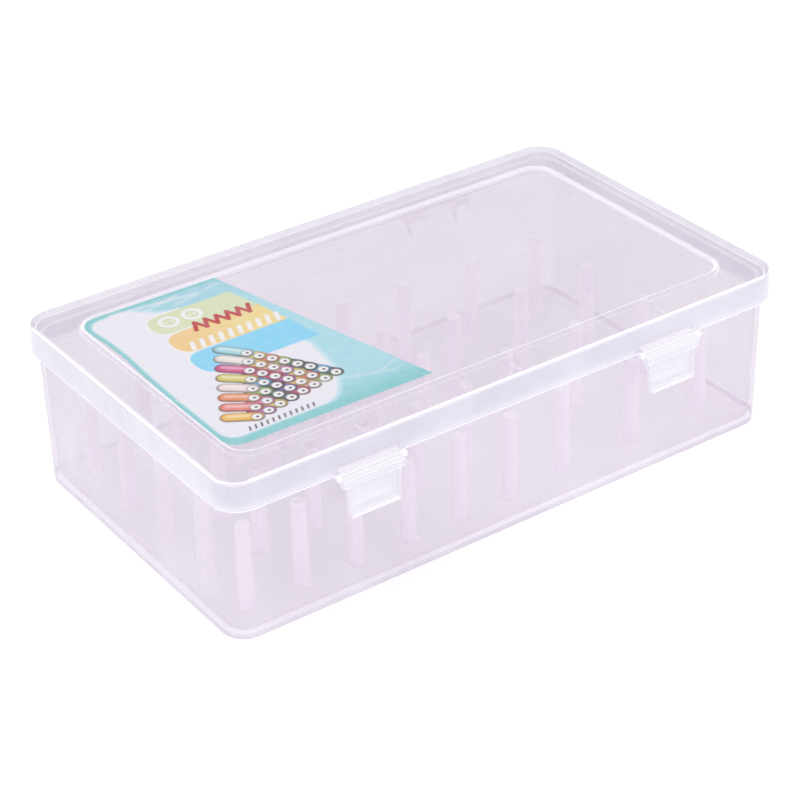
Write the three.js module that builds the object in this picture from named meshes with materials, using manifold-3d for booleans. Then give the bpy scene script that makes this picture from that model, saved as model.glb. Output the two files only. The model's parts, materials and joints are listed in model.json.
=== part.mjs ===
// Clear hinged box for sewing thread and bobbins, with forty-two spool posts and two front latches.
// Millimetres, +Z up. The origin is the centre of the tray's underside, +X runs to the right-hand end,
// and -Y faces the latched front. The lid is closed and both latches are shut.

import * as THREE from 'three';
import { mergeVertices } from 'three/addons/utils/BufferGeometryUtils.js';
import Module from 'manifold-3d';

const wasm = await Module();
wasm.setup();

// ---- Driving dimensions ----

const LID = { length: 240, width: 140, corner: 10.4, skirtBottom: 53.2, borderTop: 65, wall: 1.6, edge: 1.5 };
const PANEL = { length: 211.6, width: 110.6, corner: 8.5, drop: 0.8, slope: 0.5, shoulder: 1 };
const TRAY = {
  length: 237.2, width: 134.4, corner: 9.6, draft: 0.5, wall: 1.6, floor: 1.8, foot: 0.6,
  ledge: 52.9, rimInset: 1.2, rimTop: 61.8, rimWall: 1.4, innerFillet: 1.4,
  ledgeSlope: 1,
};
const POST = { footRadius: 3.7, footHeight: 0.9, baseRadius: 3.2, topRadius: 2.6, chamfer: 0.5, top: 36.8, sides: 12 };
const CLOSE_GRID = { name: 'close', columns: 6, rows: 5, firstX: -105, pitchX: 22.5, pitchY: 26.3 };
const WIDE_GRID = { name: 'wide', columns: 3, rows: 4, firstX: 34, pitchX: 33, pitchY: 33.1 };
const LABEL = {
  frontLeft: [-104.8, -49.6], frontRight: [-24.7, -50.7], backRight: [-47.9, 53.8], backLeft: [-103.9, 54.3],
  corner: 7, thickness: 0.2,
};
const LATCH = { x: 65, width: 24.2, plateWidth: 22.6, pivotY: -71.2, pivotZ: 53.4, pinRadius: 0.9, pinReach: 1.8 };
const EAR = { gap: 0.4, thickness: 1.5, radius: 1.9, holeRadius: 1.25, drop: 1.2 };
const NOTCH = { clearance: 0.35, top: 56.4 };
const KEEPER = { width: 16, reach: 2.4, bottom: 42.6, top: 46, ramp: 2 };
const HINGE = {
  x: 66, y: 73, z: 52, radius: 2.4, boreRadius: 1.35, lidHalf: 7, trayStart: 7.4, trayEnd: 15,
  trayArmDrop: 8.5, trayArmTop: 1.5, lidArmRise: 7.5,
};
const HINGE_PIN = { radius: 1, headRadius: 1.9, headLength: 0.9, endPlay: 0.4 };

// The gap under a piece that rests on another.
const SEAT_GAP = 0.1;
// How far a piece that is joined on sinks into its wall, and how far a cutter runs past what it cuts.
const EMBED = 0.5;
const OVERRUN = 1;
const CORNER_STEPS = 6;
const ROUND_STEPS = 16;

// ---- Materials ----

function plastic(color, opacity, roughness) {
  const transparent = opacity < 1;
  return new THREE.MeshStandardMaterial({ color, opacity, transparent, roughness, metalness: 0 });
}

const clearPlastic = plastic(0xe6dfe9, 0.45, 0.25);
const postPlastic = plastic(0xefe8f1, 0.7, 0.35);
const latchPlastic = plastic(0xf6f4f9, 0.85, 0.35);
const labelPrint = plastic(0x4fc3cf, 1, 0.4);
const pinPlastic = plastic(0xf2eff5, 0.9, 0.35);

// ---- Solids ----

function toSolid(geometry) {
  const bare = geometry.clone();
  bare.deleteAttribute('normal');
  bare.deleteAttribute('uv');
  const merged = mergeVertices(bare, 1e-4);
  const vertProperties = new Float32Array(merged.attributes.position.array);
  const triVerts = new Uint32Array(merged.index.array);
  return new wasm.Manifold(new wasm.Mesh({ numProp: 3, vertProperties, triVerts }));
}

function toGeometry(solid) {
  const mesh = solid.getMesh();
  const geometry = new THREE.BufferGeometry();
  geometry.setAttribute('position', new THREE.BufferAttribute(new Float32Array(mesh.vertProperties), 3));
  geometry.setIndex(new THREE.BufferAttribute(new Uint32Array(mesh.triVerts), 1));
  geometry.computeVertexNormals();
  return geometry;
}

function joined(first, others) {
  return others.reduce((solid, other) => solid.add(other), first);
}

function cut(first, others) {
  return others.reduce((solid, other) => solid.subtract(other), first);
}

// The points of a rectangle with round corners, anticlockwise, always the same number of them.
function roundedRectangle(length, width, corner) {
  const x = length / 2 - corner;
  const y = width / 2 - corner;
  const centres = [[x, y], [-x, y], [-x, -y], [x, -y]];
  return centres.flatMap(([cx, cy], quarter) => {
    const arc = new THREE.EllipseCurve(cx, cy, corner, corner, quarter * Math.PI / 2, (quarter + 1) * Math.PI / 2);
    return arc.getPoints(CORNER_STEPS);
  });
}

// A closed surface through rounded rectangles, capped flat at both ends.
// Each section is { length, width, corner, z }, in order along the surface from the first cap to the last.
function loft(sections) {
  const rings = sections.map((s) => roundedRectangle(s.length, s.width, s.corner));
  const count = rings[0].length;
  const positions = [0, 0, sections[0].z];
  rings.forEach((ring, i) => ring.forEach((p) => positions.push(p.x, p.y, sections[i].z)));
  positions.push(0, 0, sections.at(-1).z);
  const last = 1 + rings.length * count;
  const index = [];
  for (let k = 0; k < count; k += 1) {
    const next = (k + 1) % count;
    index.push(0, 1 + next, 1 + k);
    for (let i = 0; i + 1 < rings.length; i += 1) {
      const low = 1 + i * count;
      const high = low + count;
      index.push(low + k, low + next, high + next, low + k, high + next, high + k);
    }
    index.push(last, last - count + k, last - count + next);
  }
  const geometry = new THREE.BufferGeometry();
  geometry.setAttribute('position', new THREE.Float32BufferAttribute(positions, 3));
  geometry.setIndex(index);
  return toSolid(geometry);
}

function inset(section, distance, z) {
  return {
    length: section.length - 2 * distance,
    width: section.width - 2 * distance,
    corner: section.corner - distance,
    z,
  };
}

// A prism along X, from x0 to x1, over an outline of [y, z] points.
function prismAlongX(outline, x0, x1) {
  const shape = new THREE.Shape(outline.map(([y, z]) => new THREE.Vector2(y, z)));
  const geometry = new THREE.ExtrudeGeometry(shape, { depth: x1 - x0, bevelEnabled: false });
  const turn = new THREE.Matrix4().makeBasis(
    new THREE.Vector3(0, 1, 0), new THREE.Vector3(0, 0, 1), new THREE.Vector3(1, 0, 0),
  );
  geometry.applyMatrix4(turn);
  geometry.translate(x0, 0, 0);
  return toSolid(geometry);
}

// A round bar along X, from x0 to x1, on the axis through y, z.
function barAlongX(radius, x0, x1, y, z) {
  const geometry = new THREE.CylinderGeometry(radius, radius, x1 - x0, ROUND_STEPS);
  geometry.rotateZ(Math.PI / 2);
  geometry.translate((x0 + x1) / 2, y, z);
  return toSolid(geometry);
}

function boxBetween(low, high) {
  const size = high.map((value, axis) => value - low[axis]);
  const geometry = new THREE.BoxGeometry(...size);
  geometry.translate(...low.map((value, axis) => value + size[axis] / 2));
  return toSolid(geometry);
}

// ---- Tray ----

function trayShell() {
  const top = { length: TRAY.length, width: TRAY.width, corner: TRAY.corner };
  const foot = inset(top, TRAY.draft, 0);
  const innerLedge = TRAY.ledge - TRAY.rimWall;
  return loft([
    inset(foot, TRAY.foot, 0),
    inset(foot, 0, TRAY.foot),
    inset(top, 0, TRAY.ledge),
    inset(top, TRAY.rimInset, TRAY.ledge),
    inset(top, TRAY.rimInset, TRAY.rimTop),
    inset(top, TRAY.rimInset + TRAY.rimWall, TRAY.rimTop),
    inset(top, TRAY.rimInset + TRAY.rimWall, innerLedge),
    inset(top, TRAY.wall, innerLedge - TRAY.ledgeSlope),
    inset(foot, TRAY.wall, TRAY.floor + TRAY.innerFillet),
    inset(foot, TRAY.wall + TRAY.innerFillet, TRAY.floor),
  ]);
}

function keeper(x) {
  const wallY = -TRAY.width / 2;
  const outline = [
    [wallY + EMBED, KEEPER.bottom],
    [wallY + EMBED, KEEPER.top],
    [wallY - KEEPER.reach, KEEPER.top - KEEPER.ramp],
    [wallY - KEEPER.reach, KEEPER.bottom],
  ];
  return prismAlongX(outline, x - KEEPER.width / 2, x + KEEPER.width / 2);
}

function trayKnuckle(x0, x1) {
  const wallY = TRAY.width / 2;
  const arm = [
    [wallY - EMBED, HINGE.z - HINGE.trayArmDrop],
    [HINGE.y + HINGE.radius * 0.8, HINGE.z - HINGE.radius * 0.6],
    [HINGE.y + HINGE.radius * 0.8, HINGE.z],
    [HINGE.y - HINGE.radius * 0.9, HINGE.z - 1],
    [wallY - EMBED, HINGE.z - HINGE.trayArmTop],
  ];
  return prismAlongX(arm, x0, x1).add(barAlongX(HINGE.radius, x0, x1, HINGE.y, HINGE.z));
}

function hingeBore(x) {
  const reach = HINGE.trayEnd + OVERRUN;
  return barAlongX(HINGE.boreRadius, x - reach, x + reach, HINGE.y, HINGE.z);
}

function baseTray() {
  const knuckles = [-HINGE.x, HINGE.x].flatMap((x) => [
    trayKnuckle(x - HINGE.trayEnd, x - HINGE.trayStart),
    trayKnuckle(x + HINGE.trayStart, x + HINGE.trayEnd),
  ]);
  const keepers = [-LATCH.x, LATCH.x].map(keeper);
  return cut(joined(trayShell(), [...knuckles, ...keepers]), [hingeBore(-HINGE.x), hingeBore(HINGE.x)]);
}

// ---- Lid ----

function lidShell() {
  const outer = { length: LID.length, width: LID.width, corner: LID.corner };
  const panel = { length: PANEL.length, width: PANEL.width, corner: PANEL.corner };
  const underside = LID.borderTop - LID.wall;
  const bend = 1 - Math.SQRT1_2;
  return loft([
    inset(panel, PANEL.slope - PANEL.shoulder, underside - PANEL.drop),
    inset(panel, -PANEL.shoulder, underside),
    inset(outer, LID.wall, underside),
    inset(outer, LID.wall, LID.skirtBottom),
    inset(outer, 0, LID.skirtBottom),
    inset(outer, 0, LID.borderTop - LID.edge),
    inset(outer, LID.edge * bend, LID.borderTop - LID.edge * bend),
    inset(outer, LID.edge, LID.borderTop),
    inset(panel, 0, LID.borderTop),
    inset(panel, PANEL.slope, LID.borderTop - PANEL.drop),
  ]);
}

function latchNotch(x) {
  const half = LATCH.width / 2 + NOTCH.clearance;
  const low = [x - half, -LID.width / 2 - OVERRUN, LID.skirtBottom - OVERRUN];
  const high = [x + half, -LID.width / 2 + LID.wall + OVERRUN, NOTCH.top];
  return boxBetween(low, high);
}

function latchEar(x0, x1) {
  const skirtY = -LID.width / 2;
  const block = boxBetween(
    [x0, LATCH.pivotY, LID.skirtBottom - EAR.drop],
    [x1, skirtY + LID.wall / 2, LATCH.pivotZ + EAR.radius],
  );
  return block.add(barAlongX(EAR.radius, x0, x1, LATCH.pivotY, LATCH.pivotZ));
}

function latchEars(x) {
  const near = LATCH.width / 2 + EAR.gap;
  const far = near + EAR.thickness;
  return [latchEar(x - far, x - near), latchEar(x + near, x + far)];
}

function earHoles(x) {
  const reach = LATCH.width / 2 + EAR.gap + EAR.thickness + OVERRUN;
  return barAlongX(EAR.holeRadius, x - reach, x + reach, LATCH.pivotY, LATCH.pivotZ);
}

function lidKnuckle(x) {
  const skirtY = LID.width / 2;
  const arm = [
    [skirtY - EMBED, LID.skirtBottom + 0.2],
    [HINGE.y - HINGE.radius * 0.6, HINGE.z - HINGE.radius * 0.8],
    [HINGE.y + HINGE.radius * 0.8, HINGE.z - HINGE.radius * 0.6],
    [HINGE.y + HINGE.radius, HINGE.z],
    [HINGE.y + HINGE.radius * 0.9, HINGE.z + 1.6],
    [skirtY - EMBED, HINGE.z + HINGE.lidArmRise],
  ];
  const knuckle = prismAlongX(arm, x - HINGE.lidHalf, x + HINGE.lidHalf);
  return knuckle.add(barAlongX(HINGE.radius, x - HINGE.lidHalf, x + HINGE.lidHalf, HINGE.y, HINGE.z));
}

function lid() {
  const latchCentres = [-LATCH.x, LATCH.x];
  const hingeCentres = [-HINGE.x, HINGE.x];
  const added = [...latchCentres.flatMap(latchEars), ...hingeCentres.map(lidKnuckle)];
  const removed = [...latchCentres.map(earHoles), ...hingeCentres.map(hingeBore)];
  return cut(joined(cut(lidShell(), latchCentres.map(latchNotch)), added), removed);
}

// ---- Latch ----

// The barrel turns in the skirt's notch, and its outer face is a wedge like a small roof.
// Outlines are [y, z] from the pivot, with the tray towards +y.
const BARREL = [
  [1.1, 2], [-2.2, 0.2], [-2.2, -3.8], [-1.6, -4.3], [-0.3, -4.3], [0.9, -2.2], [1.8, -0.8], [1.9, 0.6],
];
const FLAP = [
  [-1.5, -3.6], [-1.6, -4.3], [-2.1, -14], [-3.2, -14.9], [-3.2, -15.8], [-0.8, -15.8], [-0.8, -12.8],
  [1.3, -12.1], [1.3, -11.3], [-0.7, -10.2], [-0.4, -3.6],
];

function latch(x) {
  const place = ([y, z]) => [LATCH.pivotY + y, LATCH.pivotZ + z];
  const half = LATCH.width / 2;
  const pinEnd = half + LATCH.pinReach;
  const barrel = prismAlongX(BARREL.map(place), x - half, x + half);
  const flap = prismAlongX(FLAP.map(place), x - LATCH.plateWidth / 2, x + LATCH.plateWidth / 2);
  const pins = barAlongX(LATCH.pinRadius, x - pinEnd, x + pinEnd, LATCH.pivotY, LATCH.pivotZ);
  return joined(barrel, [flap, pins]);
}

// ---- Hinge pin ----

function hingePin(x) {
  const end = HINGE.trayEnd + HINGE_PIN.endPlay;
  const rod = barAlongX(HINGE_PIN.radius, x - end, x + end, HINGE.y, HINGE.z);
  const heads = [x - end - HINGE_PIN.headLength, x + end].map(
    (x0) => barAlongX(HINGE_PIN.headRadius, x0, x0 + HINGE_PIN.headLength, HINGE.y, HINGE.z),
  );
  return joined(rod, heads);
}

// ---- Spool post ----

function postGeometry() {
  const bottom = TRAY.floor + SEAT_GAP;
  const profile = [
    [0, bottom],
    [POST.footRadius, bottom],
    [POST.baseRadius, bottom + POST.footHeight],
    [POST.topRadius, POST.top - POST.chamfer],
    [POST.topRadius - POST.chamfer, POST.top],
    [0, POST.top],
  ];
  const geometry = new THREE.LatheGeometry(profile.map(([r, z]) => new THREE.Vector2(r, z)), POST.sides);
  geometry.rotateX(Math.PI / 2);
  return toGeometry(toSolid(geometry));
}

function gridPlaces(grid) {
  const places = [];
  for (let column = 0; column < grid.columns; column += 1) {
    for (let row = 0; row < grid.rows; row += 1) {
      const x = grid.firstX + column * grid.pitchX;
      const y = (row - (grid.rows - 1) / 2) * grid.pitchY;
      places.push({ name: `spool_post_${grid.name}_${column + 1}_${row + 1}`, x, y });
    }
  }
  return places;
}

// ---- Label ----

// A point at a distance from one corner towards another.
function towards(from, to, distance) {
  const start = new THREE.Vector2(...from);
  const step = new THREE.Vector2(...to).sub(start).setLength(distance);
  return start.add(step);
}

// A sheet with round corners at the left and a slanting right-hand edge.
function label() {
  const { frontLeft, frontRight, backRight, backLeft, corner } = LABEL;
  const afterBack = towards(backLeft, frontLeft, corner);
  const afterFront = towards(frontLeft, frontRight, corner);
  const shape = new THREE.Shape();
  shape.moveTo(...frontRight);
  shape.lineTo(...backRight);
  shape.lineTo(...towards(backLeft, backRight, corner).toArray());
  shape.quadraticCurveTo(...backLeft, afterBack.x, afterBack.y);
  shape.lineTo(...towards(frontLeft, backLeft, corner).toArray());
  shape.quadraticCurveTo(...frontLeft, afterFront.x, afterFront.y);
  shape.closePath();
  const options = { depth: LABEL.thickness, bevelEnabled: false, curveSegments: CORNER_STEPS };
  const geometry = new THREE.ExtrudeGeometry(shape, options);
  geometry.translate(0, 0, LID.borderTop - PANEL.drop + SEAT_GAP);
  return toSolid(geometry);
}

// ---- Assembly ----

function meshOf(name, geometry, material) {
  const mesh = new THREE.Mesh(geometry, material);
  mesh.name = name;
  return mesh;
}

function solidMesh(name, solid, material) {
  return meshOf(name, toGeometry(solid), material);
}

const box = new THREE.Group();
box.add(solidMesh('base_tray', baseTray(), clearPlastic));
box.add(solidMesh('lid', lid(), clearPlastic));
box.add(solidMesh('label', label(), labelPrint));
for (const [side, sign] of [['left', -1], ['right', 1]]) {
  box.add(solidMesh(`${side}_latch`, latch(sign * LATCH.x), latchPlastic));
  box.add(solidMesh(`${side}_hinge_pin`, hingePin(sign * HINGE.x), pinPlastic));
}
const post = postGeometry();
for (const place of [...gridPlaces(CLOSE_GRID), ...gridPlaces(WIDE_GRID)]) {
  const mesh = meshOf(place.name, post, postPlastic);
  mesh.position.set(place.x, place.y, 0);
  box.add(mesh);
}

export default box;
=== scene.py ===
"""A clear hinged box for sewing thread: fine surfaces, materials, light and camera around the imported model.

Lengths are millimetres until a mesh is made. Only lamps and the camera are placed in metres. The frame is
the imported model's: the origin is the centre of the tray's underside, +Z is up, +X runs to the wide-set pegs
and -Y faces the latches.
"""
import json
import math

import bpy
import numpy as np
from mathutils import Matrix, Quaternion, Vector


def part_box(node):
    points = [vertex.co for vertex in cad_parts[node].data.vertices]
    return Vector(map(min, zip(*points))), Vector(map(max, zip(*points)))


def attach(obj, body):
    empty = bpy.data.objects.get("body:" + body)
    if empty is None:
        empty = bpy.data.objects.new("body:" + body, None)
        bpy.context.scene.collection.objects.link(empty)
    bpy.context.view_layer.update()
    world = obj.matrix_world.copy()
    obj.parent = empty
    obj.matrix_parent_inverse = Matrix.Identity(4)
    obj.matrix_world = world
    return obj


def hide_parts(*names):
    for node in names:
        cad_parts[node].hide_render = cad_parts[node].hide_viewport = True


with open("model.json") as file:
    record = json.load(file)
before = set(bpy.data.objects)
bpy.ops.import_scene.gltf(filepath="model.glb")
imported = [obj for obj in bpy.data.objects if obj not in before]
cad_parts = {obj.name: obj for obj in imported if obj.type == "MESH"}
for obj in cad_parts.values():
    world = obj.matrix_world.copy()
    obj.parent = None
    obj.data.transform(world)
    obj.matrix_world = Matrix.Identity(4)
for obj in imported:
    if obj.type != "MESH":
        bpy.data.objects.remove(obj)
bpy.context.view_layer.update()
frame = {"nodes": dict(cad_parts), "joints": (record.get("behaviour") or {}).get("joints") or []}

# ---- Driving dimensions ----

MM = 0.001
LEFT, RIGHT = -1, 1


def cad_box(node):
    """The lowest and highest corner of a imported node, in millimetres."""
    low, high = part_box(node)
    return low / MM, high / MM


def joint_place(name):
    """A point on the axis that a joint turns about, in millimetres."""
    joint = next(j for j in frame["joints"] if j["name"] == name)
    return Vector(joint["pos_m"]) / MM


# LID_HALF, PANEL_HALF and TRAY_HALF are half length, half width and corner radius. Others are one half.
LID_HALF = (cad_box("lid")[1].x, 70, 10.4)
LID_TOP = cad_box("lid")[1].z
LID_WALL = 1.6
SKIRT_BOTTOM = 53.2
PANEL_HALF = (105.8, 55.3, 8.5)
PANEL_DROP, PANEL_SLOPE, PANEL_SHOULDER = 0.8, 0.5, 1.0
RIB_PLACES, RIB_FRONT, RIB_BACK, RIB_HALF_WIDTH, RIB_RISE = (-65, 0, 65), -68, -63.2, 0.4, 0.2

TRAY_HALF = (cad_box("base_tray")[1].x, 67.2, 9.6)
TRAY_DRAFT, TRAY_WALL, TRAY_FLOOR = 0.5, 1.6, 1.8
LEDGE, LEDGE_SLOPE = 52.9, 1.0
RIM_TOP, RIM_INSET, RIM_WALL = cad_box("base_tray")[1].z, 1.2, 1.4
KEEPER_HALF, KEEPER_ROOT, KEEPER_REACH = 8, 0.6, 2.4
KEEPER_BOTTOM, KEEPER_NOSE, KEEPER_TOP = 42.6, 44.0, 46.0
# How far in from a flat face's edge the mesh has its first point on that face.
FLAT_START = 5

HINGE = joint_place("lid_hinge")
HINGE_X = cad_box("right_hinge_pin")[0].x / 2 + cad_box("right_hinge_pin")[1].x / 2
KNUCKLE_RADIUS, HINGE_BORE = 2.4, 1.35
LID_KNUCKLE_HALF, TRAY_KNUCKLE_START, TRAY_KNUCKLE_END = 7, 7.4, 15
PIN_RADIUS, PIN_HEAD_RADIUS, PIN_HEAD = 1.0, 1.9, 0.9
# How deep an added part's root is set into a wall, and how far a cut goes past what it cuts.
ROOT_DEPTH, CUT_PAST = 0.5, 1

LATCH_PIVOTS = {
    "left_latch": joint_place("left_latch_pivot"),
    "right_latch": joint_place("right_latch_pivot"),
}
LATCH_HALF, STUB_RADIUS, STUB_REACH = 12.3, 0.9, 1.6
PLATE_TOP_HALF, PLATE_TAPER, RIM_WIDTH, LIP_INSET, CATCH_INSET = 11.3, 0.09, 1.2, 0.3, 2.5
GROOVE_SHARES, GROOVE_HALF, GROOVE_DEPTH = (0.38, 0.72), 0.22, 0.14
EAR_GAP, EAR_THICKNESS, EAR_RADIUS, EAR_BORE = 0.2, 1.3, 1.7, 1.15
NOTCH_CLEARANCE, NOTCH_TOP = 0.35, 56.4

PEG_FOOT, PEG_BASE, PEG_TIP, PEG_SIDES = 3.7, 3.2, 2.6, 40
HOLLOW_TOP, HOLLOW_TIP, HOLLOW_FOOT = 33, 1.3, 2.1
DIMPLE_RADIUS, DIMPLE_DEPTH = 1.5, 0.8

# Edges that turn by more than BEVEL_ANGLE are rounded off, and past a SHARP_ANGLE they are shaded sharp.
BEVEL_ANGLE, SHARP_ANGLE, PEG_SHARP_ANGLE, LABEL_SHARP_ANGLE = 40, 32, 50, 40
SOFT_EDGE, LATCH_SOFT_EDGE = 0.15, 0.12
# A face narrower than NARROW is marked as a rounded edge, fully where it turns by FULL_TURN in radians.
NARROW, FULL_TURN = 0.5, 0.35
# A rounded corner takes no more than this share of the edge on either side.
LONGEST_SHARE = 0.49
# Names of the mesh attributes that the materials read, and how finely round stretches are stepped.
EDGE, PRINT = "edge", "print"
CORNER_STEPS, CURVE_STEPS, ROUND_STEPS = 14, 4, 32


# ---- Outlines and profiles ----

def corner_curve(before, corner, after, radius):
    """A curve in place of a corner, starting and ending a radius away from it."""
    if radius == 0:
        return [corner]

    def towards(other):
        step = other - corner
        return corner + step * min(LONGEST_SHARE, radius / math.hypot(step[0], step[-1]))

    start, end = towards(before), towards(after)
    shares = np.linspace(0, 1, CURVE_STEPS + 1)
    return [(1 - t) ** 2 * start + 2 * t * (1 - t) * corner + t * t * end for t in shares]


def soft_profile(profile):
    """An open profile of (point, radius) pairs with its corners rounded off."""
    points = [np.array(point, float) for point, _ in profile]
    rounded = [points[0]]
    for before, corner, after, (_, radius) in zip(points, points[1:], points[2:], profile[1:]):
        rounded += corner_curve(before, corner, after, radius)
    return rounded + [points[-1]]


def soft_outline(corners):
    """A closed outline of (a, b, radius) corners with the corners rounded off."""
    points = [np.array(corner[:2], float) for corner in corners]
    outline = []
    for i, (_, _, radius) in enumerate(corners):
        after = points[(i + 1) % len(points)]
        outline += corner_curve(points[i - 1], points[i], after, radius)
    return outline


def circle(centre_a, centre_b, radius):
    angles = [2 * math.pi * step / ROUND_STEPS for step in range(ROUND_STEPS)]
    return [(centre_a + radius * math.cos(a), centre_b + radius * math.sin(a)) for a in angles]


def ring(half, inset, z):
    """One ring of a shell: half length, half width and corner radius, less an inset, at a height."""
    half_x, half_y, corner = half
    return (half_x - inset, half_y - inset, corner - inset, z)


def ring_points(half_x, half_y, corner, z):
    """The points of a rectangle with round corners, anticlockwise from +X."""
    points = []
    for quarter, (sign_x, sign_y) in enumerate(((1, 1), (-1, 1), (-1, -1), (1, -1))):
        centre_x, centre_y = sign_x * (half_x - corner), sign_y * (half_y - corner)
        for step in range(CORNER_STEPS + 1):
            angle = (quarter + step / CORNER_STEPS) * math.pi / 2
            points.append((centre_x + corner * math.cos(angle), centre_y + corner * math.sin(angle), z))
    return points


# ---- Meshes ----

def new_object(name, vertices, faces):
    """An object from vertices in millimetres."""
    mesh = bpy.data.meshes.new(name)
    mesh.from_pydata([tuple(c * MM for c in v) for v in vertices], [], faces)
    mesh.validate()
    made = bpy.data.objects.new(name, mesh)
    bpy.context.scene.collection.objects.link(made)
    return made


def bridged(loops):
    """The vertices of loops of equal length, and the faces that join each to the next and cap both ends."""
    count = len(loops[0])
    vertices = [point for loop in loops for point in loop]
    last = len(vertices) - count
    faces = [tuple(reversed(range(count))), tuple(range(last, last + count))]
    for low in range(0, last, count):
        for k in range(count):
            after = (k + 1) % count
            faces.append((low + k, low + after, low + count + after, low + count + k))
    return vertices, faces


def shell(name, profile):
    return new_object(name, *bridged([ring_points(*r) for r in soft_profile(profile)]))


def prism(name, outline, left, right, left_lean=0.0, right_lean=0.0):
    """A bar along X over a (y, z) outline.

    A lean is how far that end goes to +X for each millimetre of height.
    """
    def loop(x, lean):
        return [(x + lean * z, y, z) for y, z in outline]

    return new_object(name, *bridged([loop(left, left_lean), loop(right, right_lean)]))


def bar(name, radius, left, right, y, z):
    return prism(name, circle(y, z, radius), left, right)


def block(name, low, high):
    """A plain block between two corners."""
    outline = [(low[1], low[2]), (high[1], low[2]), (high[1], high[2]), (low[1], high[2])]
    return prism(name, outline, low[0], high[0])


def lathe(name, profile, sides):
    """A solid turned about Z from (radius, z) points that start and end on the axis."""
    vertices, loops, faces = [], [], []
    for radius, z in profile:
        angles = [2 * math.pi * k / sides for k in range(sides)] if radius > 0 else [0]
        loops.append([len(vertices) + k for k in range(len(angles))])
        vertices += [(radius * math.cos(a), radius * math.sin(a), z) for a in angles]
    for low, high in zip(loops, loops[1:]):
        for k in range(sides):
            after = (k + 1) % sides
            lower = (low[k % len(low)], low[after % len(low)])
            upper = (high[after % len(high)], high[k % len(high)])
            faces.append(tuple(dict.fromkeys(lower + upper)))
    return new_object(name, vertices, faces)


def apply_modifiers(piece):
    graph = bpy.context.evaluated_depsgraph_get()
    mesh = bpy.data.meshes.new_from_object(piece.evaluated_get(graph))
    piece.modifiers.clear()
    piece.data = mesh


def combine(piece, others, operation):
    """Joins the others to a piece (UNION) or cuts them out of it (DIFFERENCE), and removes them."""
    for other in others:
        modifier = piece.modifiers.new(operation, "BOOLEAN")
        modifier.operation = operation
        modifier.solver = "EXACT"
        modifier.object = other
    apply_modifiers(piece)
    for other in others:
        bpy.data.objects.remove(other)


def soften_edges(piece, width):
    """Small round edges, as a mould leaves them."""
    bevel = piece.modifiers.new("soft edges", "BEVEL")
    bevel.width = width * MM
    bevel.segments = 2
    bevel.limit_method = "ANGLE"
    bevel.angle_limit = math.radians(BEVEL_ANGLE)
    apply_modifiers(piece)


def mark_edges(mesh):
    """Writes the face attribute where the plastics paint a highlight: 1 on narrow faces of rounded edges,
    else 0.
    """
    turns = np.zeros(len(mesh.polygons))
    faces_at = {}
    for face in mesh.polygons:
        for key in face.edge_keys:
            faces_at.setdefault(key, []).append(face)
    for faces in faces_at.values():
        turn = faces[0].normal.angle(faces[-1].normal, 0.0)
        for face in faces:
            turns[face.index] = max(turns[face.index], turn)
    corners = [[mesh.vertices[v].co for v in face.vertices] for face in mesh.polygons]
    longest = np.array([max((a - b).length for a, b in zip(c, c[1:] + c[:1])) for c in corners]) / MM
    areas = np.array([face.area for face in mesh.polygons]) / MM**2
    narrow = areas / np.maximum(longest, 1e-6) < NARROW
    values = np.clip(turns / FULL_TURN, 0, 1) * narrow
    attribute = mesh.attributes.new(EDGE, "FLOAT", "FACE")
    attribute.data.foreach_set("value", values.astype(np.float32))


def smooth(mesh, sharp_angle):
    """Smooth shading, except across edges that turn by more than an angle in degrees."""
    mesh.shade_smooth()
    mesh.set_sharp_from_angle(angle=math.radians(sharp_angle))


def shade(piece):
    """Smooth shading with flat faces kept flat and rounded edges marked."""
    mark_edges(piece.data)
    smooth(piece.data, SHARP_ANGLE)
    normals = piece.modifiers.new("face weighted normals", "WEIGHTED_NORMAL")
    normals.keep_sharp = True


def place(piece, material, body, slot, *nodes):
    """Gives a finished piece its material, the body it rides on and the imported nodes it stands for."""
    piece.data.materials.clear()
    piece.data.materials.append(material)
    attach(piece, body)
    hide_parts(*nodes)


# ---- Materials ----

# Colours are 0 to 255 as seen on screen. A veil is the share of what is behind a wall that it hides.
# The first colour is a painted highlight on rounded edges.
EDGE_HIGHLIGHT, LAMP_TINT = (250, 248, 252), (253, 252, 253)
EDGE_VEIL, FOOT_VEIL, HAIRLINE_VEIL = 0.24, 0.4, 0.03
# How much darker the veil's colour is edge on and in the foot.
GRAZING_DROP, FOOT_DROP = 9, 16
# The way through a wall is 1 / cosine of the angle that it is seen at, down to this cosine.
LOWEST_COSINE = 0.2
# How much darker the tint is edge on, for each step that it is below white.
DEEPENING = 1.6
PLASTIC_IOR, GRAZING_SHINE, PLAIN_SHINE = 1.49, 0.15, 0.03
# Texture sizes, in waves per metre, and the hairlines' directions, stretch, noise range and roughness.
PATCH_SCALE, PEEL_SCALE, MOTTLE_SCALE, TOOTH_SCALE = 38.0, 420.0, 260.0, 2400.0
HAIRLINE_TURNS, HAIRLINE_STRETCH = ((0.5, 0.4), (2.2, 0.8)), (9, 900, 500)
HAIRLINE_RANGE, HAIRLINE_ROUGHNESS = (0.74, 0.80), 0.15


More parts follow.
